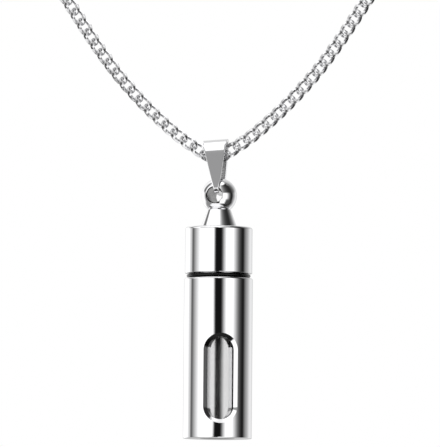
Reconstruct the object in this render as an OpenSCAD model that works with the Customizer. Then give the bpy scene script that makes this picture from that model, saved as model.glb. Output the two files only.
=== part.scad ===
// Keepsake urn pendant on a curb chain: a turned steel vial with a screw top, hung from a tapered strap bail.
// Origin: the middle of the neck opening. Front is -Y, up is +Z. Millimetres.

/* [Chain] */
// Breadth of the flat chain, across its links
chain_w = 1.9; // [1.4:0.05:2]
// Thickness of the flat chain
chain_t = 1.2; // [0.8:0.05:1.3]

/* [Clasp] */
// Outer diameter of the barrel clasp
clasp_d = 3.6; // [3.3:0.1:6]
// Length of the barrel clasp
clasp_len = 12; // [8:0.5:20]
// Rounding of the clasp's rims
clasp_edge = 0.5; // [0.2:0.05:0.6]
// How far each end of the chain goes into the clasp
clasp_grip = 1.5; // [0.5:0.1:3]
// Gap round the chain inside the clasp
clasp_gap = 0.15; // [0.1:0.05:0.3]

/* [Bail] */
// Width of the strap where it lies over the chain
bail_top_w = 3.7; // [2.4:0.1:3.8]
// Width of the strap where it passes through the ball
bail_foot_w = 0.7; // [0.5:0.05:0.75]
// How far the strap's sides swell outwards between the ball and its top
bail_swell = 0.13; // [0:0.01:0.2]
// Thickness of the strap
bail_t = 0.4; // [0.3:0.05:0.45]
// Inside radius of the strap's round top
bail_eye_r = 1.8; // [1.75:0.05:2.2]
// Inside radius of the two bends at the strap's foot
bail_foot_r = 0.3; // [0.2:0.05:0.4]
// Height of the round top's centre over the ball's centre
bail_reach = 6; // [5.5:0.1:8]
// Gap between the strap and the ball, in front of and behind it
bail_gap = 0.25; // [0.15:0.05:0.6]
// Gap over the strap inside the ball's hole
bail_play = 0.12; // [0.1:0.01:0.2]
// How far the bail is turned to the left, seen from above
bail_turn = 8; // [4:1:14]
// How far the bail leans to the left, seen from the front
bail_lean = 4; // [0:0.5:5]

/* [Ball] */
// Diameter of the ball finial
ball_d = 5.15; // [4.8:0.05:6]
// Diameter of the neck, where the ball meets the cone
neck_d = 3.12; // [2.8:0.02:3.6]
// Diameter of the hole through the ball
hole_d = 2.3; // [2.2:0.02:2.5]
// How far the hole's front mouth is turned to the left, seen from above
hole_turn = 19; // [10:1:20]

/* [Cap] */
// Diameter of the cone where the ball stands on it
cone_top_d = 3.44; // [3:0.05:4]
// Diameter of the cone where it meets the cap
cone_base_d = 5.26; // [4.5:0.05:7]
// Height of the cone
cone_h = 2.6; // [1.5:0.1:4]
// Diameter of the cap
cap_d = 9.8; // [9.4:0.1:12]
// Height of the cap
cap_h = 6.75; // [4:0.05:10]
// Rounding of the cap's upper rim
cap_edge = 0.35; // [0.1:0.05:0.5]
// Rounding of the cap's lower rim
cap_lip = 0.12; // [0.05:0.01:0.3]
// How deep the cap's screw spigot reaches into the sleeve
spigot_len = 4.3; // [3:0.1:6]

/* [Seal] */
// Height of the seam between cap and sleeve, which the seal ring fills
seam_h = 0.7; // [0.6:0.05:1]
// Gap between the seal ring and the metal round it
seal_gap = 0.05; // [0.03:0.01:0.08]

/* [Sleeve] */
// Outer diameter of the sleeve
sleeve_d = 10; // [9.6:0.1:12]
// Length of the sleeve
sleeve_len = 23.4; // [21:0.1:40]
// Wall of the sleeve
sleeve_wall = 1.25; // [1.1:0.05:1.4]
// Thickness of the sleeve's floor
floor_t = 1.3; // [0.8:0.1:1.8]
// Rounding of the sleeve's upper rim
sleeve_edge = 0.25; // [0.1:0.05:0.4]
// Rounding of the sleeve's lower rim
sleeve_foot = 0.1; // [0.05:0.05:0.4]
// Running gap between the spigot and the sleeve's bore, at the radius
spigot_gap = 0.05; // [0.03:0.01:0.08]

/* [Window] */
// Width of the window
window_w = 3.9; // [3:0.1:5]
// Height of the window
window_len = 12; // [8:0.1:14]
// Height of the window's lower end over the sleeve's bottom
window_base = 2.65; // [2:0.05:3.5]
// How far the window is turned to the right, seen from above
window_turn = 5; // [0:1:20]

/* [Glass] */
// Gap round the glass vial inside the sleeve, at the radius
glass_gap = 0.15; // [0.1:0.05:0.3]
// Wall of the glass vial
glass_wall = 0.4; // [0.3:0.05:0.5]
// Gap between the glass vial and the metal under it
glass_seat = 0.05; // [0.03:0.01:0.1]
// Gap between the glass vial's rim and the spigot
glass_room = 0.3; // [0.2:0.1:1]

/* [Hidden] */
$fn = 96;
slack = 1;
lap = 0.02;
bail_steps = 5;

// The right half of the chain's route, from its low point in the bail round to the nape
nape = [0, 47, 12];
route = [
    [0, -40, -122.2], [1.2, -40, -122], [2.6, -40, -121.1], [4.4, -40, -119.9],
    [7.9, -40, -117], [13.5, -40, -111.2], [21.8, -40, -99.4], [30, -40, -85.5],
    [38.5, -40, -69.5], [46.5, -40, -52], [53, -39, -34.5], [58, -35.5, -18.5],
    [61.5, -28, -6], [63, -17, 1], [62.5, -3, 4.5], [59.5, 10, 6.5],
    [53.5, 22, 8], [44.5, 33, 9.5], [32.5, 41.3, 11], [18, 46, 11.8],
    [clasp_len / 2 - clasp_grip, nape.y, nape.z]
];
ring_step = 6.5;
chain_sides = 8;

// The pendant's place: the bail's eye lies round the chain's low point, and the ball hangs under it
eye_at = [0.2355, -40.0418, -122.0146];
bail_up = [-sin(bail_lean) * cos(bail_turn), sin(bail_lean) * sin(bail_turn), cos(bail_lean)];
ball_at = eye_at - bail_reach * bail_up;

// Heights along the pendant, counted from the ball's centre
cone_top_z = -sqrt(pow(ball_d / 2, 2) - pow(neck_d / 2, 2));
cap_top_z = cone_top_z - cone_h;
cap_base_z = cap_top_z - cap_h;
sleeve_top_z = cap_base_z - seam_h;
sleeve_base_z = sleeve_top_z - sleeve_len;
floor_z = sleeve_base_z + floor_t;
spigot_end_z = sleeve_top_z - spigot_len;
glass_base_z = floor_z + glass_seat;
glass_top_z = spigot_end_z - glass_room;

sleeve_r = sleeve_d / 2;
bore_r = sleeve_r - sleeve_wall;
spigot_r = bore_r - spigot_gap;
seal_r = seam_h / 2 - seal_gap;
glass_r = bore_r - glass_gap;

// The strap in the ball's hole: the hole is narrower where the strap's edges are
bar_edge = bail_foot_w / 2 + ball_d / 2 * sin(abs(hole_turn - bail_turn));
bar_top = sqrt(pow(hole_d / 2 - bail_play, 2) - pow(bar_edge, 2));
foot_y = ball_d / 2 + bail_gap - bail_foot_r;
foot_z = bar_top + bail_foot_r;
bail_top_z = bail_reach + bail_eye_r + bail_t;

function unit(v) = v / norm(v);
function flip(p) = [-p.x, p.y, p.z];

// Direction of the route at each of its points: the mean of the two spans, the shorter one counting more
function span(i) = route[i + 1] - route[i];
function heading(i) =
    i == 0 ? [1, 0, 0] :
    i == len(route) - 1 ? [-1, 0, 0] :
    let (a = norm(span(i - 1)), b = norm(span(i)))
    unit(span(i - 1) * b / a + span(i) * a / b);

// A point of the smooth curve from route point i to the next, for s from 0 to 1
function along(i, s) =
    let (h = norm(span(i)))
    route[i] * (1 + 2 * s) * pow(1 - s, 2) + route[i + 1] * s * s * (3 - 2 * s)
    + heading(i) * h * s * pow(1 - s, 2) - heading(i + 1) * h * s * s * (1 - s);

function steps(i) = max(1, round(norm(span(i)) / ring_step));
half_path = concat(
    [for (i = [0 : len(route) - 2]) for (k = [0 : steps(i) - 1]) along(i, k / steps(i))],
    [route[len(route) - 1]]
);
last = len(half_path) - 1;

function lead(i) =
    i == 0 ? [1, 0, 0] :
    i == last ? [-1, 0, 0] :
    unit(half_path[i + 1] - half_path[i - 1]);

// The flat side's normal starts to the front and is carried along the route without twisting it
function carried(i, n) = let (t = lead(i), m = unit(n - t * (n * t)))
    i == last ? [m] : concat([m], carried(i + 1, m));
flat_side = carried(0, [0, -1, 0]);

function chain_ring(i) =
    let (edge_side = cross(lead(i), flat_side[i]))
    [for (k = [0 : chain_sides - 1]) let (a = 360 * k / chain_sides)
        half_path[i] + edge_side * cos(a) * chain_w / 2 + flat_side[i] * sin(a) * chain_t / 2];
right_rings = [for (i = [0 : last]) chain_ring(i)];
rings = concat(
    [for (i = [last : -1 : 1]) [for (p = right_rings[i]) flip(p)]],
    right_rings
);

// A round bar with softly rounded rims, standing on the Z axis
module rounded_bar(r, low, high, low_edge, high_edge) {
    rotate_extrude() {
        polygon([
            [0, low], [r - low_edge, low], [r - low_edge, low + low_edge],
            [r, low + low_edge], [r, high - high_edge],
            [r - high_edge, high - high_edge], [r - high_edge, high], [0, high]
        ]);
        intersection() {
            translate([r - low_edge, low + low_edge]) circle(low_edge);
            translate([r - low_edge, low]) square(low_edge);
        }
        intersection() {
            translate([r - high_edge, high - high_edge]) circle(high_edge);
            translate([r - high_edge, high - high_edge]) square(high_edge);
        }
    }
}

module chain() {
    color("gainsboro")
        polyhedron(
            points = [for (ring = rings) for (p = ring) p],
            faces = concat(
                [for (i = [0 : len(rings) - 2]) for (k = [0 : chain_sides - 1])
                    let (a = i * chain_sides, b = a + chain_sides, m = (k + 1) % chain_sides)
                    [a + k, a + m, b + m]],
                [for (i = [0 : len(rings) - 2]) for (k = [0 : chain_sides - 1])
                    let (a = i * chain_sides, b = a + chain_sides, m = (k + 1) % chain_sides)
                    [a + k, b + m, b + k]],
                [[for (k = [chain_sides - 1 : -1 : 0]) k]],
                [[for (k = [0 : chain_sides - 1]) (len(rings) - 1) * chain_sides + k]]
            )
        );
}

// A plain barrel with a socket in each end for the chain's end links
module clasp() {
    socket_r = chain_w / 2 + clasp_gap;
    socket_depth = clasp_grip + clasp_gap;
    color("silver")
        translate(nape)
        rotate([0, 90, 0])
        difference() {
            rounded_bar(clasp_d / 2, -clasp_len / 2, clasp_len / 2, clasp_edge, clasp_edge);
            for (end = [-1, 1])
                translate([0, 0, end * clasp_len / 2])
                cylinder(r = socket_r, h = 2 * socket_depth, center = true);
        }
}

// A band of the strap's thickness round a bend, between two angles
module bend(centre, r, from, to) {
    reach = 4 * (r + bail_t);
    intersection() {
        translate(centre) difference() {
            circle(r + bail_t);
            circle(r);
        }
        translate(centre)
            polygon(concat([[0, 0]], [for (s = [0 : 4]) let (a = from + (to - from) * s / 4)
                [reach * cos(a), reach * sin(a)]]));
    }
}

// The strap's loop seen from its side: a round top, two straight legs and a bar through the ball
module bail_side() {
    top = [0, bail_reach];
    foot = [foot_y, foot_z];
    down = foot - top;
    lean_in = atan2(down.y, down.x) + acos((bail_eye_r - bail_foot_r) / norm(down));
    out = [cos(lean_in), sin(lean_in)];
    up = [-out.y, out.x] * lap;
    bend(top, bail_eye_r, lean_in, 180 - lean_in);
    for (side = [0, 1])
        mirror([side, 0]) {
            polygon([
                top + out * bail_eye_r + up, foot + out * bail_foot_r - up,
                foot + out * (bail_foot_r + bail_t) - up, top + out * (bail_eye_r + bail_t) + up
            ]);
            bend(foot, bail_foot_r, -90, lean_in);
        }
    translate([-foot_y - lap, bar_top - bail_t]) square([2 * (foot_y + lap), bail_t]);
}

// Half the strap's width at a share of its length, from the ball to the round top
function strap_half(s) =
    (bail_foot_w + (bail_top_w - bail_foot_w) * s) / 2 + bail_swell * sqrt(sin(180 * s));

// The strap's outline seen from the front: it widens along its length and its sides swell a little
module bail_front() {
    outer_r = bail_eye_r + bail_t;
    leg = bail_reach - foot_z;
    share = leg / (leg + outer_r * PI / 2);
    right = concat(
        [[bail_foot_w / 2, -slack], [bail_foot_w / 2, foot_z]],
        [for (s = [1 : bail_steps]) [strap_half(share * s / bail_steps), foot_z + leg * s / bail_steps]],
        [for (s = [1 : bail_steps]) let (a = 90 * s / bail_steps)
            [strap_half(share + (1 - share) * s / bail_steps), bail_reach + outer_r * sin(a)]],
        [[bail_top_w / 2, bail_top_z + slack]]
    );
    polygon(concat(right, [for (i = [len(right) - 1 : -1 : 0]) [-right[i].x, right[i].y]]));
}

module bail() {
    color("silver")
        translate(ball_at)
        rotate([0, 0, -bail_turn])
        rotate([0, -bail_lean, 0])
        intersection() {
            rotate([90, 0, 90]) linear_extrude(bail_top_w + 2 * slack, center = true) bail_side();
            rotate([90, 0, 0]) linear_extrude(ball_d + 4 * slack, center = true) bail_front();
        }
}

// Ball finial, cone, cap and screw spigot, turned from one bar
module cap() {
    color("silver")
        translate(ball_at)
        difference() {
            union() {
                sphere(d = ball_d);
                translate([0, 0, cap_top_z])
                    cylinder(h = cone_h, d1 = cone_base_d, d2 = cone_top_d);
                rounded_bar(cap_d / 2, cap_base_z, cap_top_z, cap_lip, cap_edge);
                translate([0, 0, spigot_end_z])
                    cylinder(h = cap_base_z - spigot_end_z + cap_h / 2, r = spigot_r);
            }
            rotate([0, 0, -hole_turn]) rotate([90, 0, 0])
                cylinder(h = ball_d + 2 * slack, d = hole_d, center = true);
        }
}

module seal_ring() {
    color("black")
        translate(ball_at + [0, 0, cap_base_z - seam_h / 2])
        rotate_extrude()
        translate([spigot_r + seal_gap + seal_r, 0]) circle(seal_r);
}

// The window's cut: a slot with round ends, milled straight in from the front as far as the bore
module window_cut() {
    rotate([0, 0, window_turn])
        translate([0, 0, sleeve_base_z + window_base + window_len / 2])
        rotate([90, 0, 0])
        linear_extrude(sleeve_r + slack) {
            square([window_w, window_len - window_w], center = true);
            for (end = [-1, 1])
                translate([0, end * (window_len - window_w) / 2]) circle(d = window_w);
        }
}

module sleeve() {
    color("silver")
        translate(ball_at)
        difference() {
            rounded_bar(sleeve_r, sleeve_base_z, sleeve_top_z, sleeve_foot, sleeve_edge);
            translate([0, 0, floor_z]) cylinder(h = sleeve_len, r = bore_r);
            window_cut();
        }
}

module glass_vial() {
    color("lightcyan", 0.5)
        translate(ball_at)
        difference() {
            rounded_bar(glass_r, glass_base_z, glass_top_z, glass_wall, glass_wall / 4);
            translate([0, 0, glass_base_z + glass_wall])
                cylinder(h = sleeve_len, r = glass_r - glass_wall);
        }
}

chain();
clasp();
bail();
cap();
seal_ring();
sleeve();
glass_vial();
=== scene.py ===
import math

import bmesh
import bpy
from mathutils import Matrix, Vector


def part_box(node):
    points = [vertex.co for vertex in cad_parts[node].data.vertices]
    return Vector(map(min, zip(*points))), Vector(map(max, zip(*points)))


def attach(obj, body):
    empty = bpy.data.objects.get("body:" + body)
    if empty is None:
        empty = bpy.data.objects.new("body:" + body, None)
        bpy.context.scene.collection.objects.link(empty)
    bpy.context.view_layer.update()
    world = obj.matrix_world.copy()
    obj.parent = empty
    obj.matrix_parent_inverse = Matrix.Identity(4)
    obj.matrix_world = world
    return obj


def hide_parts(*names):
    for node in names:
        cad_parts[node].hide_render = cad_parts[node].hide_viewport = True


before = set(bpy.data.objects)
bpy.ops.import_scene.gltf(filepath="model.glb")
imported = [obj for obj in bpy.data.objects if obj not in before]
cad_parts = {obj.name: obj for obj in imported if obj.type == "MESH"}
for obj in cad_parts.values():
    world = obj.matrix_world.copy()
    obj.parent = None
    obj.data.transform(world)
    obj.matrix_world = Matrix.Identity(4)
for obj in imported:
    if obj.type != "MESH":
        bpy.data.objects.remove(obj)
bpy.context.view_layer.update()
MM = 0.001

# The pendant hangs on one upright axis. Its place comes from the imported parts: the sleeve gives the axis,
# and the ball's centre lies one ball radius under the top of the cap's part.
ball_radius = 2.575 * MM
sleeve_low, sleeve_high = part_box("sleeve")
cap_low, cap_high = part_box("cap")
ball_centre = Vector((
    (sleeve_low.x + sleeve_high.x) / 2,
    (sleeve_low.y + sleeve_high.y) / 2,
    cap_high.z - ball_radius,
))

# The camera: a long lens a little under the height of the vial and looking slightly up at it, so that the
# rims of the cap and the sleeve arch. It is rolled by half a degree, because the pendant leans in the frame.
frame_height = 65.3 * MM
camera_distance = 900 * MM
camera_rise = math.radians(4.2)
camera_roll = math.radians(0.47)
aim = ball_centre + Vector((0.14, 0, -4.06)) * MM

camera_data = bpy.data.cameras.new("camera")
film_width = 36
camera_data.sensor_width = film_width
camera_data.lens = film_width * camera_distance / frame_height
camera = bpy.data.objects.new("camera", camera_data)
bpy.context.scene.collection.objects.link(camera)
sight = Vector((0, math.cos(camera_rise), math.sin(camera_rise)))
camera.location = aim - sight * camera_distance
camera.rotation_mode = "QUATERNION"
camera.rotation_quaternion = (
    sight.to_track_quat("-Z", "Y") @ Matrix.Rotation(camera_roll, 4, "Z").to_quaternion()
)
bpy.context.scene.camera = camera
bpy.context.scene.view_settings.view_transform = "Standard"

# The studio: a white light tent all round, with a dark slot beside the camera and dark panels at the sides,
# which polished steel shows as its upright dark stripes. The floor is far below the hanging pendant.
# Each stop is an angle round the pendant from the camera's side, to the right, and the brightness there:
# first for the walls at the pendant's own height, then for what is well above it and what is well below it.
WALLS = [
    (-180, 0.55), (-168, 0.6), (-158, 1.3), (-124, 1.3), (-113, 0.8), (-106, 0.6), (-102, 0.14), (-97, 0.15),
    (-91, 0.35), (-83, 0.62), (-75, 0.9), (-68, 1.2), (-64, 1.4), (-20, 1.4), (-16, 0.9), (-12, 0.12),
    (-9, 0.008), (9, 0.008), (13, 0.12), (18, 0.5), (24, 0.95), (29, 1.4), (48, 1.4), (57, 0.85), (65, 0.42),
    (73, 0.15), (81, 0.05), (89, 0.012), (95, 0.02), (100, 0.14), (108, 0.33), (118, 0.5), (131, 0.85),
    (142, 0.95), (160, 0.8), (172, 0.55), (180, 0.55),
]
CEILING = [
    (-180, 0.75), (-166, 0.8), (-152, 1.2), (-136, 0.9), (-127, 0.3), (-118, 0.1), (-108, 0.35), (-99, 1.3),
    (0, 1.3), (8, 1.0), (14, 0.72), (20, 0.48), (27, 0.3), (34, 0.2), (49, 0.08), (66, 0.035), (86, 0.025),
    (94, 0.06), (105, 0.12), (118, 0.24), (134, 0.5), (156, 0.75), (168, 0.8), (180, 0.75),
]
GROUND = [
    (-180, 0.8), (-120, 0.3), (-80, 0.3), (-60, 1.3), (-36, 1.3), (-30, 0.02), (0, 0.02), (7, 1.3),
    (40, 1.3), (56, 0.1), (104, 0.03), (125, 0.5), (150, 1.1), (180, 0.9),
]
brightest = 1.4
# The edges of the bands and of the screen, each with the two places between which it fades in. Heights run
# from -1 straight below the pendant to 1 straight above it. The screen's sides are angles like the stops.
ground_edge = (-0.5, -0.25)
ceiling_edge = (0.14, 0.34)
open_top_edge = (0.9, 0.95)
screen_left = (-75, -65)
screen_right = (2, -4)
screen_foot = (0.2, 0.24)
screen_head = (0.58, 0.48)
screen_grey = 0.36

world = bpy.data.worlds.new("light_tent")
bpy.context.scene.world = world
world.use_nodes = True
tent = world.node_tree
tent.nodes.clear()


def node(tree, kind, **settings):
    made = tree.nodes.new(kind)
    for name, value in settings.items():
        setattr(made, name, value)
    return made


def share_of_turn(angle):
    """Where an angle lies in the whole turn, from 0 to 1. The camera's side is the middle."""
    return (angle + 180) / 360


def panels(stops, turn):
    """One band of the tent: its brightness at each angle round the pendant, as a share of the brightest."""
    band = node(tent, "ShaderNodeFloatCurve")
    curve = band.mapping.curves[0]
    curve.points[0].location = (0, stops[0][1] / brightest)
    curve.points[1].location = (1, stops[-1][1] / brightest)
    for angle, level in stops[1:-1]:
        curve.points.new(share_of_turn(angle), level / brightest)
    for point in curve.points:
        point.handle_type = "VECTOR"
    band.mapping.update()
    tent.links.new(turn, band.inputs["Value"])
    return band.outputs["Value"]


def step_between(value, off, on):
    """0 on the first value's side and 1 on the second's, with a soft step between the two."""
    step = node(tent, "ShaderNodeMapRange", interpolation_type="SMOOTHSTEP")
    step.inputs["From Min"].default_value = off
    step.inputs["From Max"].default_value = on
    tent.links.new(value, step.inputs["Value"])
    return step.outputs["Result"]


def blend(share, first, second):
    """The first value at a share of 0, the second at 1."""
    mix = node(tent, "ShaderNodeMix", data_type="FLOAT")
    tent.links.new(share, mix.inputs["Factor"])
    for socket, value in ((mix.inputs["A"], first), (mix.inputs["B"], second)):
        if isinstance(value, float):
            socket.default_value = value
        else:
            tent.links.new(value, socket)
    return mix.outputs["Result"]


direction = node(tent, "ShaderNodeTexCoord")
parts = node(tent, "ShaderNodeSeparateXYZ")
toward_camera = node(tent, "ShaderNodeMath", operation="MULTIPLY")
toward_camera.inputs[1].default_value = -1
bearing = node(tent, "ShaderNodeMath", operation="ARCTAN2")
turn = node(tent, "ShaderNodeMapRange")
turn.inputs["From Min"].default_value = -math.pi
turn.inputs["From Max"].default_value = math.pi
tent.links.new(direction.outputs["Generated"], parts.inputs[0])
tent.links.new(parts.outputs["Y"], toward_camera.inputs[0])
tent.links.new(parts.outputs["X"], bearing.inputs[0])
tent.links.new(toward_camera.outputs[0], bearing.inputs[1])
tent.links.new(bearing.outputs[0], turn.inputs["Value"])
round_it, height = turn.outputs["Result"], parts.outputs["Z"]
lower = blend(step_between(height, *ground_edge), panels(GROUND, round_it), panels(WALLS, round_it))
whole = blend(step_between(height, *ceiling_edge), lower, panels(CEILING, round_it))
whole = blend(step_between(height, *open_top_edge), whole, 1.0)
# A grey screen up over the camera's left side, which the flat leg of the bail shows.
screen = 1.0
for edge in (
    step_between(round_it, *map(share_of_turn, screen_left)),
    step_between(round_it, *map(share_of_turn, screen_right)),
    step_between(height, *screen_foot),
    step_between(height, *screen_head),
):
    screen = blend(edge, 0.0, screen)
whole = blend(screen, whole, screen_grey / brightest)
brightness = node(tent, "ShaderNodeBackground")
tent.links.new(whole, brightness.inputs["Color"])
brightness.inputs["Strength"].default_value = brightest

# To the camera the tent is plain white.
seen = node(tent, "ShaderNodeLightPath")
plain = node(tent, "ShaderNodeBackground")
plain.inputs["Color"].default_value = (1, 1, 1, 1)
plain.inputs["Strength"].default_value = 1.0
choice = node(tent, "ShaderNodeMixShader")
sky = node(tent, "ShaderNodeOutputWorld")
tent.links.new(seen.outputs["Is Camera Ray"], choice.inputs["Fac"])
tent.links.new(brightness.outputs[0], choice.inputs[1])
tent.links.new(plain.outputs[0], choice.inputs[2])
tent.links.new(choice.outputs[0], sky.inputs["Surface"])

# The floor: plain matt pale board, which the steel doesn't mirror.
floor_half_width = 12
floor_height = -0.45
floor_mesh = bpy.data.meshes.new("floor")
build = bmesh.new()
bmesh.ops.create_grid(build, x_segments=1, y_segments=1, size=floor_half_width)
bmesh.ops.translate(build, verts=build.verts, vec=(0, 0, floor_height))
build.to_mesh(floor_mesh)
build.free()
floor = bpy.data.objects.new("floor", floor_mesh)
bpy.context.scene.collection.objects.link(floor)
floor_paint = bpy.data.materials.new("floor_paint")
floor_paint.use_nodes = True
floor_surface = floor_paint.node_tree.nodes["Principled BSDF"]
floor_surface.inputs["Base Color"].default_value = (0.9, 0.9, 0.9, 1)
floor_surface.inputs["Roughness"].default_value = 0.9
floor_mesh.materials.append(floor_paint)
floor.visible_glossy = False

# Light passes many times between the polished walls and the glass.
bpy.context.scene.cycles.max_bounces = 32
bpy.context.scene.cycles.glossy_bounces = 24
bpy.context.scene.cycles.transmission_bounces = 24

# Curb chain: round steel wire bent to oval links, each twisted so that the links lie flat in one another,
# then rolled so that their faces are flat. The links follow the same route as the chain's solid: its right
# half in millimetres, from the low point in the bail to the clasp. The left half mirrors it.
ROUTE = [
    (0, -40, -122.2), (1.2, -40, -122), (2.6, -40, -121.1), (4.4, -40, -119.9),
    (7.9, -40, -117), (13.5, -40, -111.2), (21.8, -40, -99.4), (30, -40, -85.5),
    (38.5, -40, -69.5), (46.5, -40, -52), (53, -39, -34.5), (58, -35.5, -18.5),
    (61.5, -28, -6), (63, -17, 1), (62.5, -3, 4.5), (59.5, 10, 6.5),
    (53.5, 22, 8), (44.5, 33, 9.5), (32.5, 41.3, 11), (18, 46, 11.8),
    (4.5, 47, 12),
]
link_pitch = 1.77 * MM
wire = 0.6 * MM
link_half_length = 1.21 * MM
link_half_width = 0.74 * MM
link_twist_rise = 0.45 * MM
link_half_thickness = 0.56 * MM


def headings(points):
    """The route's direction at each point: the mean of the spans beside it, the shorter counting more."""
    found = [Vector((1, 0, 0))]
    for before, here, after in zip(points, points[1:], points[2:]):
        span_in, span_out = here - before, after - here
        near, far = span_in.length, span_out.length
        found.append((span_in * (far / near) + span_out * (near / far)).normalized())
    return found + [Vector((-1, 0, 0))]


def fine_route(points, cuts=40):
    """Close points of the smooth curve through the route's points."""
    ways = headings(points)
    close = []
    for start, end, way_out, way_in in zip(points, points[1:], ways, ways[1:]):
        span = (end - start).length
        for step in range(cuts):
            s = step / cuts
            close.append(
                start * ((1 + 2 * s) * (1 - s) ** 2)
                + end * (s * s * (3 - 2 * s))
                + way_out * (span * s * (1 - s) ** 2)
                - way_in * (span * s * s * (1 - s))
            )
    return close + [points[-1]]


def places_along(close, pitch, first):
    """Place, direction and flat side at every pitch of the way. The flat side is carried without twist."""
    found = []
    flat = Vector((0, -1, 0))
    gone, due = 0.0, first
    for here, after in zip(close, close[1:]):
        stretch = (after - here).length
        way = (after - here).normalized()
        flat = (flat - way * flat.dot(way)).normalized()
        while due <= gone + stretch:
            found.append((here + way * (due - gone), way, flat.copy()))
            due += pitch
        gone += stretch
    return found


def steel(name, colour, roughness, scratch_scale, scratch_depth):
    """Polished stainless steel: a bright metal whose polish varies softly and carries hair-fine marks."""
    paint = bpy.data.materials.new(name)
    paint.use_nodes = True
    tree = paint.node_tree
    surface = tree.nodes["Principled BSDF"]
    surface.inputs["Base Color"].default_value = (*colour, 1)
    surface.inputs["Metallic"].default_value = 1
    place = node(tree, "ShaderNodeTexCoord")
    cloud = node(tree, "ShaderNodeTexNoise")
    cloud.inputs["Scale"].default_value = 260
    cloud.inputs["Detail"].default_value = 3
    polish = node(tree, "ShaderNodeMapRange")
    polish.inputs["To Min"].default_value = roughness * 0.7
    polish.inputs["To Max"].default_value = roughness * 1.3
    stretch = node(tree, "ShaderNodeMapping")
    stretch.inputs["Scale"].default_value = (1, 1, 14)
    marks = node(tree, "ShaderNodeTexNoise")
    marks.inputs["Scale"].default_value = scratch_scale
    marks.inputs["Detail"].default_value = 4
    relief = node(tree, "ShaderNodeBump")
    relief.inputs["Strength"].default_value = scratch_depth
    relief.inputs["Distance"].default_value = 0.02 * MM
    tree.links.new(place.outputs["Object"], cloud.inputs["Vector"])
    tree.links.new(cloud.outputs["Fac"], polish.inputs["Value"])
    tree.links.new(polish.outputs["Result"], surface.inputs["Roughness"])
    tree.links.new(place.outputs["Object"], stretch.inputs["Vector"])
    tree.links.new(stretch.outputs["Vector"], marks.inputs["Vector"])
    tree.links.new(marks.outputs["Fac"], relief.inputs["Height"])
    tree.links.new(relief.outputs["Normal"], surface.inputs["Normal"])
    return paint


def piece_from(build, name, paint, sharp=32):
    """A finished piece from a bmesh: smooth, with edges sharper than the angle left crisp."""
    if build.calc_volume(signed=True) < 0:
        bmesh.ops.reverse_faces(build, faces=build.faces)
    mesh = bpy.data.meshes.new(name)
    build.to_mesh(mesh)
    build.free()
    mesh.materials.append(paint)
    mesh.shade_smooth()
    mesh.set_sharp_from_angle(angle=math.radians(sharp))
    piece = bpy.data.objects.new(name, mesh)
    bpy.context.scene.collection.objects.link(piece)
    return piece


def curb_link():
    """One link round the origin, long in X and flat in Z: a ring of wire, drawn out, twisted and rolled."""
    ring = bmesh.new()
    bmesh.ops.create_circle(
        ring, segments=6, radius=wire / 2,
        matrix=Matrix.Translation((1, 0, 0)) @ Matrix.Rotation(math.radians(90), 4, "X"),
    )
    bmesh.ops.spin(
        ring, geom=ring.verts[:] + ring.edges[:], axis=(0, 0, 1), cent=(0, 0, 0),
        angle=math.tau, steps=18, use_merge=True,
    )
    for vert in ring.verts:
        out = Vector((vert.co.x, vert.co.y, 0))
        angle = math.atan2(out.y, out.x)
        spread, rise = out.length - 1, vert.co.z
        cos, sin = math.cos(angle), math.sin(angle)
        middle = Vector((
            link_half_length * cos,
            link_half_width * sin,
            link_twist_rise * math.sin(2 * angle),
        ))
        along = Vector((
            -link_half_length * sin, link_half_width * cos, 2 * link_twist_rise * math.cos(2 * angle),
        )).normalized()
        side = Vector((link_half_width * cos, link_half_length * sin, 0)).normalized()
        side = (side - along * side.dot(along)).normalized()
        vert.co = middle + side * spread + side.cross(along) * rise
        vert.co.z = max(-link_half_thickness, min(link_half_thickness, vert.co.z))
    bmesh.ops.recalc_face_normals(ring, faces=ring.faces)
    return ring


right_half = fine_route([Vector(point) * MM for point in ROUTE])
template = curb_link()
template_mesh = bpy.data.meshes.new("link")
template.to_mesh(template_mesh)
template.free()
chain_build = bmesh.new()
for place, way, flat in places_along(right_half, link_pitch, link_pitch / 2):
    for on_the_left in (False, True):
        middle, along, face = place.copy(), way.copy(), flat.copy()
        if on_the_left:
            middle.x, face.x = -middle.x, -face.x
            along.y, along.z = -along.y, -along.z
        across = face.cross(along)
        basis = Matrix((along, across, face)).transposed().to_4x4()
        basis.translation = middle
        before = len(chain_build.verts)
        chain_build.from_mesh(template_mesh)
        chain_build.verts.ensure_lookup_table()
        bmesh.ops.transform(chain_build, matrix=basis, verts=chain_build.verts[before:])
chain_steel = steel("chain_steel", (0.82, 0.82, 0.83), 0.22, 3000, 0.12)
chain = piece_from(chain_build, "curb_chain", chain_steel, sharp=38)
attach(chain, "necklace")
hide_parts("chain")

# Clasp: a plain polished steel barrel at the nape, turned from bar. Each end has a blind socket, which takes
# the chain's end links.
clasp_low, clasp_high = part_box("clasp")
clasp_middle = (clasp_low + clasp_high) / 2
clasp_half = (clasp_high.x - clasp_low.x) / 2
clasp_radius = (clasp_high.z - clasp_low.z) / 2
clasp_rim = 0.5 * MM
clasp_socket = 1.2 * MM
clasp_socket_depth = 2.9 * MM
clasp_socket_ease = 0.1 * MM
wall_run = 0.03 * MM


def arc(centre, radius, start, end, steps, run=0.0):
    """Points of an outline round a bend, from one angle to the other in degrees. With a run, it goes
    straight on for that length at both ends, which keeps the long walls beside it flat in their shading."""
    angles = [math.radians(start + (end - start) * step / steps) for step in range(steps + 1)]
    points = [(centre[0] + radius * math.cos(a), centre[1] + radius * math.sin(a)) for a in angles]
    if run:
        onward = run if end > start else -run
        first, last = angles[0], angles[-1]
        points.insert(0, (points[0][0] + onward * math.sin(first), points[0][1] - onward * math.cos(first)))
        points.append((points[-1][0] - onward * math.sin(last), points[-1][1] + onward * math.cos(last)))
    return points


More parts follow.
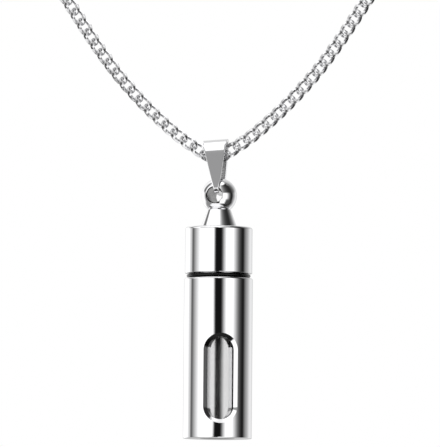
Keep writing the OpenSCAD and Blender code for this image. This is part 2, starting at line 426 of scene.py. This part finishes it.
def turned(outline, steps, closed=False):
    """A solid of revolution round the Z axis from an outline of radius and height."""
    build = bmesh.new()
    verts = [build.verts.new((radius, 0, height)) for radius, height in outline]
    pairs = list(zip(verts, verts[1:])) + ([(verts[-1], verts[0])] if closed else [])
    for pair in pairs:
        build.edges.new(pair)
    bmesh.ops.spin(
        build, geom=build.verts[:] + build.edges[:], axis=(0, 0, 1), cent=(0, 0, 0),
        angle=math.tau, steps=steps, use_merge=True,
    )
    bmesh.ops.remove_doubles(build, verts=build.verts, dist=1e-7)
    bmesh.ops.recalc_face_normals(build, faces=build.faces)
    return build


clasp_outline = (
    [(0, clasp_half - clasp_socket_depth), (clasp_socket, clasp_half - clasp_socket_depth)]
    + [(clasp_socket, clasp_half - clasp_socket_ease), (clasp_socket + clasp_socket_ease, clasp_half)]
    + arc((clasp_radius - clasp_rim, clasp_half - clasp_rim), clasp_rim, 90, 0, 6, wall_run)
)
clasp_outline += [(radius, -height) for radius, height in reversed(clasp_outline)]
clasp_build = turned(clasp_outline, 48)
bmesh.ops.transform(
    clasp_build, verts=clasp_build.verts,
    matrix=Matrix.Translation(clasp_middle) @ Matrix.Rotation(math.radians(90), 4, "Y"),
)
mirror_steel = steel("mirror_steel", (0.86, 0.86, 0.87), 0.035, 1500, 0.06)
clasp = piece_from(clasp_build, "barrel_clasp", mirror_steel)
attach(clasp, "necklace")
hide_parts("clasp")

# Bail: a tapered strip of steel, bent into a closed loop that lies over the chain and passes through the
# ball. It is polished outside and left satin inside. It hangs a little turned and leans to the left.
bail_turn = math.radians(-8)
bail_lean = math.radians(-4)
bail_reach = 6 * MM
bail_eye = 1.8 * MM
bail_foot_bend = 0.3 * MM
strap = 0.4 * MM
strap_top_width = 3.7 * MM
strap_foot_width = 0.7 * MM
strap_swell = 0.13 * MM
strap_edge = 0.09 * MM
hole_radius = 1.15 * MM
bail_play = 0.12 * MM
bail_clear = 0.25 * MM
hole_turn = math.radians(-19)

bar_edge = strap_foot_width / 2 + ball_radius * math.sin(abs(hole_turn - bail_turn))
bar_top = math.sqrt((hole_radius - bail_play) ** 2 - bar_edge ** 2)
foot = Vector((ball_radius + bail_clear - bail_foot_bend, bar_top + bail_foot_bend))
eye = Vector((0, bail_reach))
down = foot - eye
leg_angle = math.degrees(
    math.atan2(down.y, down.x) + math.acos((bail_eye - bail_foot_bend) / down.length)
)

# The loop's outer outline, seen from its side: round the top, down a leg, round the foot and along under the
# bar that passes through the ball.
outer_eye = bail_eye + strap
outer_foot = bail_foot_bend + strap
off_leg = Vector((math.cos(math.radians(leg_angle)), math.sin(math.radians(leg_angle))))
leg_top = eye + off_leg * outer_eye
leg_end = foot + off_leg * outer_foot
half_loop = (
    arc(eye, outer_eye, 90, leg_angle, 16)
    + [tuple(leg_top.lerp(leg_end, share)) for share in (0.2, 0.4, 0.6, 0.8)]
    + arc(foot, outer_foot, leg_angle, -90, 8)
    + [(foot.x / 2, bar_top - strap)]
)
loop = half_loop + [(0, bar_top - strap)] + [(-y, z) for y, z in reversed(half_loop)][:-1]


def strap_half_width(height):
    """Half the strap's width at a height: it widens along its length, from the ball to its round top."""
    share = min(max((height - eye.y) / outer_eye, 0), 1)
    length = max(min(height, eye.y) - foot.y, 0) + outer_eye * math.asin(share)
    along = length / (eye.y - foot.y + outer_eye * math.pi / 2)
    swell = strap_swell * math.sqrt(math.sin(math.pi * min(along, 1)))
    return (strap_foot_width + (strap_top_width - strap_foot_width) * along) / 2 + swell


bail_build = bmesh.new()
path = [bail_build.verts.new((0, y, z)) for y, z in loop]
for here, after in zip(path, path[1:] + path[:1]):
    bail_build.edges.new((here, after))
bmesh.ops.translate(bail_build, verts=bail_build.verts, vec=(-strap_top_width / 2, 0, 0))
swept = bmesh.ops.extrude_edge_only(bail_build, edges=bail_build.edges[:])
far_side = [item for item in swept["geom"] if isinstance(item, bmesh.types.BMVert)]
bmesh.ops.translate(bail_build, verts=far_side, vec=(strap_top_width, 0, 0))
for vert in bail_build.verts:
    vert.co.x = math.copysign(strap_half_width(vert.co.z), vert.co.x)
bmesh.ops.recalc_face_normals(bail_build, faces=bail_build.faces)
bmesh.ops.solidify(bail_build, geom=bail_build.faces[:], thickness=strap)
bmesh.ops.recalc_face_normals(bail_build, faces=bail_build.faces)
rims = [edge for edge in bail_build.edges if edge.calc_face_angle(0) > math.radians(60)]
bmesh.ops.bevel(
    bail_build, geom=rims, offset=strap_edge, segments=2, profile=0.5, affect="EDGES", material=-1,
    offset_type="OFFSET", clamp_overlap=True,
)
bail_place = (
    Matrix.Translation(ball_centre)
    @ Matrix.Rotation(bail_turn, 4, "Z")
    @ Matrix.Rotation(bail_lean, 4, "Y")
)
bmesh.ops.transform(bail_build, verts=bail_build.verts, matrix=bail_place)
bail = piece_from(bail_build, "strap_bail", mirror_steel, sharp=18)
bail.data.materials.append(steel("satin_bail_steel", (0.6, 0.6, 0.6), 0.35, 900, 0.1))
upright = bail_place.inverted()
loop_middle = Vector((0, 0, bail_reach * 0.7))
side_tilt = 0.3
# Satin are the faces that look into the loop. The strap's two narrow sides stay polished.
for face in bail.data.polygons:
    spot, facing = upright @ face.center, upright.to_3x3() @ face.normal
    inward = facing.dot((loop_middle - spot) * Vector((0, 1, 1))) > 0
    face.material_index = 1 if inward and abs(facing.x) < side_tilt else 0
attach(bail, "bail")
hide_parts("bail")

# Cap: ball finial, cone, screw cap and spigot, turned from one steel bar and polished. The ball is drilled
# across for the bail. The hole's wall is left as drilled, and its mouths are eased to spare the strap.
cap_radius = 4.9 * MM
cone_top = -2.05 * MM
cone_top_radius = 1.72 * MM
cone_base_radius = 2.63 * MM
cone_edge = 0.04 * MM
neck_radius = 1.56 * MM
cap_top = cone_top - 2.6 * MM
cap_base = cap_top - 6.75 * MM
cap_rim = 0.35 * MM
cap_lip = 0.07 * MM
spigot_radius = 3.7 * MM
spigot_end = cap_low.z - ball_centre.z
spigot_chamfer = 0.3 * MM
hole_ease = 0.15 * MM
hole_ease_depth = 1.7 * hole_ease
drill_excess = 1 * MM
cut_error = 0.001 * MM

ball_meets_cone = -math.degrees(math.acos(neck_radius / ball_radius))
cap_outline = (
    [(0, ball_radius)]
    + arc((0, 0), ball_radius, 89, ball_meets_cone, 48)
    + [(cone_top_radius - cone_edge, cone_top), (cone_top_radius, cone_top - cone_edge)]
    + [(cone_base_radius, cap_top)]
    + arc((cap_radius - cap_rim, cap_top - cap_rim), cap_rim, 90, 0, 6, wall_run)
    + arc((cap_radius - cap_lip, cap_base + cap_lip), cap_lip, 0, -90, 4, wall_run)
    + [(spigot_radius, cap_base), (spigot_radius, spigot_end + spigot_chamfer)]
    + [(spigot_radius - spigot_chamfer, spigot_end), (0, spigot_end)]
)
cap_build = turned(cap_outline, 160)
bmesh.ops.translate(cap_build, verts=cap_build.verts, vec=ball_centre)
cap = piece_from(cap_build, "ball_cap", mirror_steel, sharp=25)

# The drill for the hole widens at both mouths and stands out of the ball.
mouth = math.sqrt(ball_radius ** 2 - hole_radius ** 2)
mouth_radius = hole_radius + hole_ease
drill_end = mouth + drill_excess
straight_end = mouth - hole_ease_depth
drill_half = [(hole_radius, straight_end), (mouth_radius, mouth), (mouth_radius, drill_end), (0, drill_end)]
drill_build = turned([(radius, -height) for radius, height in reversed(drill_half)] + drill_half, 96)
bmesh.ops.transform(
    drill_build, verts=drill_build.verts,
    matrix=Matrix.Translation(ball_centre) @ Matrix.Rotation(hole_turn, 4, "Z")
    @ Matrix.Rotation(math.radians(90), 4, "X"),
)


def cut(piece, cutter_build):
    """Cuts a solid out of a piece for good."""
    cutter = piece_from(cutter_build, "cutter", mirror_steel)
    saw = piece.modifiers.new("cut", "BOOLEAN")
    saw.operation = "DIFFERENCE"
    saw.solver = "EXACT"
    saw.object = cutter
    bpy.context.view_layer.update()
    evaluated = piece.evaluated_get(bpy.context.evaluated_depsgraph_get())
    shaped = bpy.data.meshes.new_from_object(evaluated)
    piece.modifiers.clear()
    old = piece.data
    piece.data = shaped
    shaped.name = piece.name
    bpy.data.meshes.remove(old)
    bpy.data.objects.remove(cutter)
    shaped.shade_smooth()
    shaped.set_sharp_from_angle(angle=math.radians(25))


cut(cap, drill_build)
cap.data.materials.append(steel("drilled_steel", (0.3, 0.3, 0.3), 0.3, 900, 0.1))
hole_axis = Vector((math.sin(hole_turn), -math.cos(hole_turn), 0))
for face in cap.data.polygons:
    spot = face.center - ball_centre
    off_axis = (spot - hole_axis * spot.dot(hole_axis)).length
    drilled = off_axis < hole_radius + cut_error and abs(spot.z) < hole_radius
    face.material_index = 1 if drilled else 0
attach(cap, "urn_cap")
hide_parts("cap")

# Seal ring: a ring of black rubber round the spigot, which fills the seam between cap and sleeve. The two
# squeeze it flat, so that it bulges outwards.
seam = 0.7 * MM
seal_gap = 0.05 * MM
seal_half_height = seam / 2 - seal_gap
seal_half_width = 0.46 * MM
seal_middle = spigot_radius + seal_gap + seal_half_width
seal_outline = [
    (seal_middle + seal_half_width * x, cap_base - seam / 2 + seal_half_height * y)
    for x, y in arc((0, 0), 1, 0, 345, 23)
]
seal_build = turned(seal_outline, 128, closed=True)
bmesh.ops.translate(seal_build, verts=seal_build.verts, vec=ball_centre)
rubber = bpy.data.materials.new("black_rubber")
rubber.use_nodes = True
rubber_surface = rubber.node_tree.nodes["Principled BSDF"]
rubber_surface.inputs["Base Color"].default_value = (0.002, 0.002, 0.002, 1)
rubber_surface.inputs["Specular IOR Level"].default_value = 0.25
rubber_place = node(rubber.node_tree, "ShaderNodeTexCoord")
rubber_grain = node(rubber.node_tree, "ShaderNodeTexNoise")
rubber_grain.inputs["Scale"].default_value = 4000
rubber_sheen = node(rubber.node_tree, "ShaderNodeMapRange")
rubber_sheen.inputs["To Min"].default_value = 0.15
rubber_sheen.inputs["To Max"].default_value = 0.25
rubber.node_tree.links.new(rubber_place.outputs["Object"], rubber_grain.inputs["Vector"])
rubber.node_tree.links.new(rubber_grain.outputs["Fac"], rubber_sheen.inputs["Value"])
rubber.node_tree.links.new(rubber_sheen.outputs["Result"], rubber_surface.inputs["Roughness"])
seal = piece_from(seal_build, "seal_ring_rubber", rubber)
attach(seal, "seal")
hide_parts("seal_ring")

# Sleeve: a thick polished steel tube, bored from the top and closed by its floor, with a tall round-ended
# window milled through the front, whose rim is eased. The bore and the window's upper end are satin, and
# their colour is darkened as painted shade. The eased rim over that end's top and left side, and the right
# side of the end's wall, are painted near black as a painted dark reflection.
sleeve_radius = 5 * MM
bore_radius = 3.75 * MM
sleeve_top = cap_base - seam
sleeve_base = sleeve_top - 23.4 * MM
sleeve_floor = sleeve_base + 1.3 * MM
sleeve_rim = 0.25 * MM
sleeve_foot = 0.1 * MM
bore_edge = 0.1 * MM
window_width = 3.9 * MM
window_length = 12 * MM
window_low = sleeve_base + 2.65 * MM
window_ease = 0.55 * MM
window_ease_tilt = math.radians(33)
window_turn = math.radians(5)
cutter_back = 1.5 * MM
cutter_height = 2.5 * MM
overcut = 0.15

sleeve_outline = (
    [(0, sleeve_base), (sleeve_radius * 0.5, sleeve_base)]
    + arc((sleeve_radius - sleeve_foot, sleeve_base + sleeve_foot), sleeve_foot, -90, 0, 4, wall_run)
    + arc((sleeve_radius - sleeve_rim, sleeve_top - sleeve_rim), sleeve_rim, 0, 90, 6, wall_run)
    + [(bore_radius + bore_edge, sleeve_top), (bore_radius, sleeve_top - bore_edge)]
    + [(bore_radius, sleeve_floor), (0, sleeve_floor)]
)
sleeve_build = turned(sleeve_outline, 192)
bmesh.ops.translate(sleeve_build, verts=sleeve_build.verts, vec=ball_centre)
sleeve = piece_from(sleeve_build, "windowed_sleeve", mirror_steel, sharp=25)

# The window's cutter is a round-ended block that widens over the rim's ease.
window_build = bmesh.new()
bmesh.ops.create_circle(window_build, cap_ends=True, segments=96, radius=window_width / 2)
for vert in window_build.verts:
    vert.co.y += math.copysign((window_length - window_width) / 2, vert.co.y)
bmesh.ops.translate(window_build, verts=window_build.verts, vec=(0, 0, cutter_back))


def raised(build, spread, rise):
    """Pushes the cutter's front on to a new ring, spread sideways and at a height over the eased rim."""
    front = max(build.faces, key=lambda face: (len(face.verts), face.calc_center_median().z))
    walled = any(len(edge.link_faces) > 1 for edge in front.edges)
    pushed = bmesh.ops.extrude_face_region(build, geom=[front])
    if walled:
        bmesh.ops.delete(build, geom=[front], context="FACES_ONLY")
    for vert in (item for item in pushed["geom"] if isinstance(item, bmesh.types.BMVert)):
        middle = Vector((0, math.copysign((window_length - window_width) / 2, vert.co.y)))
        flat = Vector((vert.co.x, vert.co.y))
        if abs(flat.y) < abs(middle.y):
            middle.y = flat.y
        outward = (flat - middle).normalized()
        rim = math.sqrt(sleeve_radius ** 2 - (flat.x + outward.x * window_ease) ** 2)
        vert.co = (flat.x + outward.x * spread, flat.y + outward.y * spread, rim + rise)


ease_depth = window_ease * math.tan(window_ease_tilt)
raised(window_build, 0, -ease_depth)
raised(window_build, window_ease * (1 + overcut), ease_depth * overcut)
raised(window_build, 0, cutter_height)
bmesh.ops.triangulate(window_build, faces=window_build.faces[:])
bmesh.ops.recalc_face_normals(window_build, faces=window_build.faces)
bmesh.ops.transform(
    window_build, verts=window_build.verts,
    matrix=Matrix.Translation(ball_centre + Vector((0, 0, window_low + window_length / 2)))
    @ Matrix.Rotation(window_turn, 4, "Z") @ Matrix.Rotation(math.radians(90), 4, "X"),
)
cut(sleeve, window_build)
# The satin steel's dark colour is painted shade: it darkens the bore and the wall of the window's upper end.
sleeve.data.materials.append(steel("satin_steel_painted_shade", (0.12, 0.12, 0.12), 0.3, 900, 0.1))
# This near-black steel is a painted dark reflection on the window's eased rim and on the upper end's wall.
sleeve.data.materials.append(steel("painted_dark_reflection_steel", (0.02, 0.02, 0.02), 0.3, 900, 0.1))
axis = Vector((ball_centre.x, ball_centre.y, 0))
upper_end = ball_centre.z + window_low + window_length - window_width / 2
bore_error = 0.02 * MM
down_tilt = 0.25
front_tilt = 0.3
left_tilt = 0.3
rim_tilt = 0.12
# Satin, darkened by painted shade, are the bore and the wall of the window's upper end. Painted near black,
# as a painted dark reflection, are that wall's right side, which looks to the left, and the eased rim over
# the end's top and left side.
for face in sleeve.data.polygons:
    reach = max((sleeve.data.vertices[i].co * Vector((1, 1, 0)) - axis).length for i in face.vertices)
    facing = face.normal
    overhangs = face.center.z > upper_end and facing.z < -down_tilt
    if overhangs and facing.y > -front_tilt:
        face.material_index = 2 if facing.x < -left_tilt else 1
    elif reach < bore_radius + bore_error:
        face.material_index = 1
    elif overhangs and facing.x > -rim_tilt:
        face.material_index = 2
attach(sleeve, "urn_sleeve")
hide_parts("sleeve")

# Glass vial: a thin blown glass tube with a closed floor and a fire-polished rim, which stands in the sleeve
# and shows in its window. Its outside mirrors about half of the light.
glass_radius = 3.6 * MM
glass_wall = 0.4 * MM
glass_foot_bend = 0.4 * MM
glass_inner_bend = 0.3 * MM
glass_shine = 0.48
glass_low, glass_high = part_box("glass_vial")
glass_base = glass_low.z - ball_centre.z
glass_top = glass_high.z - ball_centre.z
glass_outline = (
    [(0, glass_base)]
    + arc(
        (glass_radius - glass_foot_bend, glass_base + glass_foot_bend),
        glass_foot_bend, -90, 0, 6, wall_run,
    )
    + arc((glass_radius - glass_wall / 2, glass_top - glass_wall / 2), glass_wall / 2, 0, 180, 8, wall_run)
    + arc(
        (glass_radius - glass_wall - glass_inner_bend, glass_base + glass_wall + glass_inner_bend),
        glass_inner_bend, 0, -90, 5, wall_run,
    )
    + [(0, glass_base + glass_wall)]
)
glass_build = turned(glass_outline, 128)
bmesh.ops.translate(glass_build, verts=glass_build.verts, vec=ball_centre)


def blown_glass(name, shine):
    """Clear glass with a faint haze that varies softly. The shine is the share of it that mirrors."""
    paint = bpy.data.materials.new(name)
    paint.use_nodes = True
    tree = paint.node_tree
    surface = tree.nodes["Principled BSDF"]
    surface.inputs["Base Color"].default_value = (1, 1, 1, 1)
    surface.inputs["Transmission Weight"].default_value = 1
    surface.inputs["Metallic"].default_value = shine
    surface.inputs["IOR"].default_value = 1.47
    place = node(tree, "ShaderNodeTexCoord")
    draw = node(tree, "ShaderNodeTexNoise")
    draw.inputs["Scale"].default_value = 500
    haze = node(tree, "ShaderNodeMapRange")
    haze.inputs["To Min"].default_value = 0.08
    haze.inputs["To Max"].default_value = 0.16
    tree.links.new(place.outputs["Object"], draw.inputs["Vector"])
    tree.links.new(draw.outputs["Fac"], haze.inputs["Value"])
    tree.links.new(haze.outputs["Result"], surface.inputs["Roughness"])
    return paint


glass = piece_from(glass_build, "glass_tube", blown_glass("clear_glass", glass_shine))
glass.data.materials.append(blown_glass("clear_glass_inside", 0))
glass_floor_middle = glass_low.z + 0.3 * MM
for face in glass.data.polygons:
    reach = ((face.center - axis) * Vector((1, 1, 0))).length
    inside = face.center.z > glass_floor_middle and reach < glass_radius - glass_wall / 2
    face.material_index = 1 if inside else 0
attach(glass, "urn_sleeve")
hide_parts("glass_vial")
